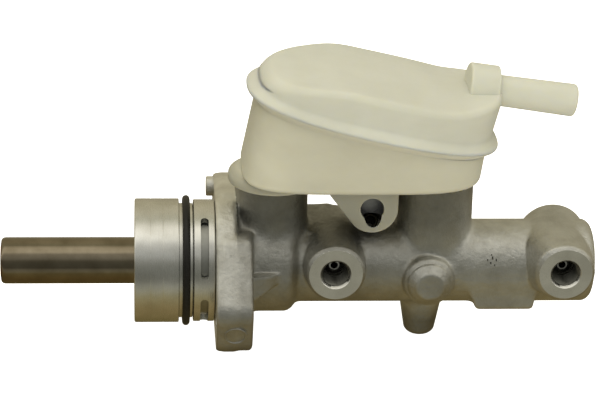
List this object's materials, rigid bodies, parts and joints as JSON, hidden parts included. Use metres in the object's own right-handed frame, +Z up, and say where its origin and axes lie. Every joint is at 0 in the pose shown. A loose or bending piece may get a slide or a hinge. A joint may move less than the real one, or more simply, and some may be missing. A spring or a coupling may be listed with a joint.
{
  "type": "brake master cylinder",
  "caption": "Tandem brake master cylinder: flanged cast body, sliding plunger pistons on springs, side pipe ports and a translucent reservoir with a hose nipple.",
  "frame": {"origin": "on the bore's axis, in the rear face of the mounting flange", "axes": "+X along the bore from the flange to the closed front end, +Z up to the reservoir, pipe ports face -Y"},
  "size_m": [0.2627, 0.0912, 0.1287],
  "materials": {
    "cast_aluminium": "as cast, fine grain",
    "machined_aluminium": "turned",
    "dark_anodised_aluminium": "dark anodised, smooth",
    "black_rubber": "smooth",
    "translucent_plastic": "moulded, translucent",
    "bearing_bush": "bearing surface",
    "zinc_steel": "zinc plated",
    "spring_steel": "oiled"
  },
  "bodies": {
    "root": {"cylinder_body": "cast_aluminium", "rear_guide_hub": "machined_aluminium", "slotted_sleeve": "machined_aluminium", "hub_oring": "black_rubber", "rod_vacuum_seal": "black_rubber", "primary_rear_seal": "black_rubber", "primary_pressure_seal": "black_rubber", "secondary_rear_seal": "black_rubber", "secondary_pressure_seal": "black_rubber", "rear_grommet": "black_rubber", "front_grommet": "black_rubber", "guide_bush": "bearing_bush", "hub_snap_ring": "spring_steel", "rear_port_seat": "zinc_steel", "front_port_seat": "zinc_steel", "reservoir_lower_shell": "translucent_plastic", "reservoir_upper_shell": "translucent_plastic", "hose_nipple": "translucent_plastic", "reservoir_baffle": "translucent_plastic", "reservoir_pin": "spring_steel", "secondary_spring_seat": "zinc_steel", "secondary_spring": "spring_steel"},
    "primary": {"primary_piston": "dark_anodised_aluminium", "spring_guide_bolt": "zinc_steel", "primary_spring": "spring_steel"},
    "secondary": {"secondary_piston": "dark_anodised_aluminium", "primary_spring_cup": "zinc_steel"}
  },
  "joints": [
    {"name": "primary_slide", "type": "slide", "parent": "root", "child": "primary", "axis": [1, 0, 0], "range_m": [0, 0.032], "stiffness_N_per_m": 4000, "springref_m": -0.015, "deforming": ["primary_spring"]},
    {"name": "secondary_slide", "type": "slide", "parent": "root", "child": "secondary", "axis": [1, 0, 0], "range_m": [0, 0.016], "deforming": ["secondary_spring"]}
  ],
  "couplings": [
    {"joint": "secondary_slide", "follows": "primary_slide", "ratio": 0.5}
  ]
}
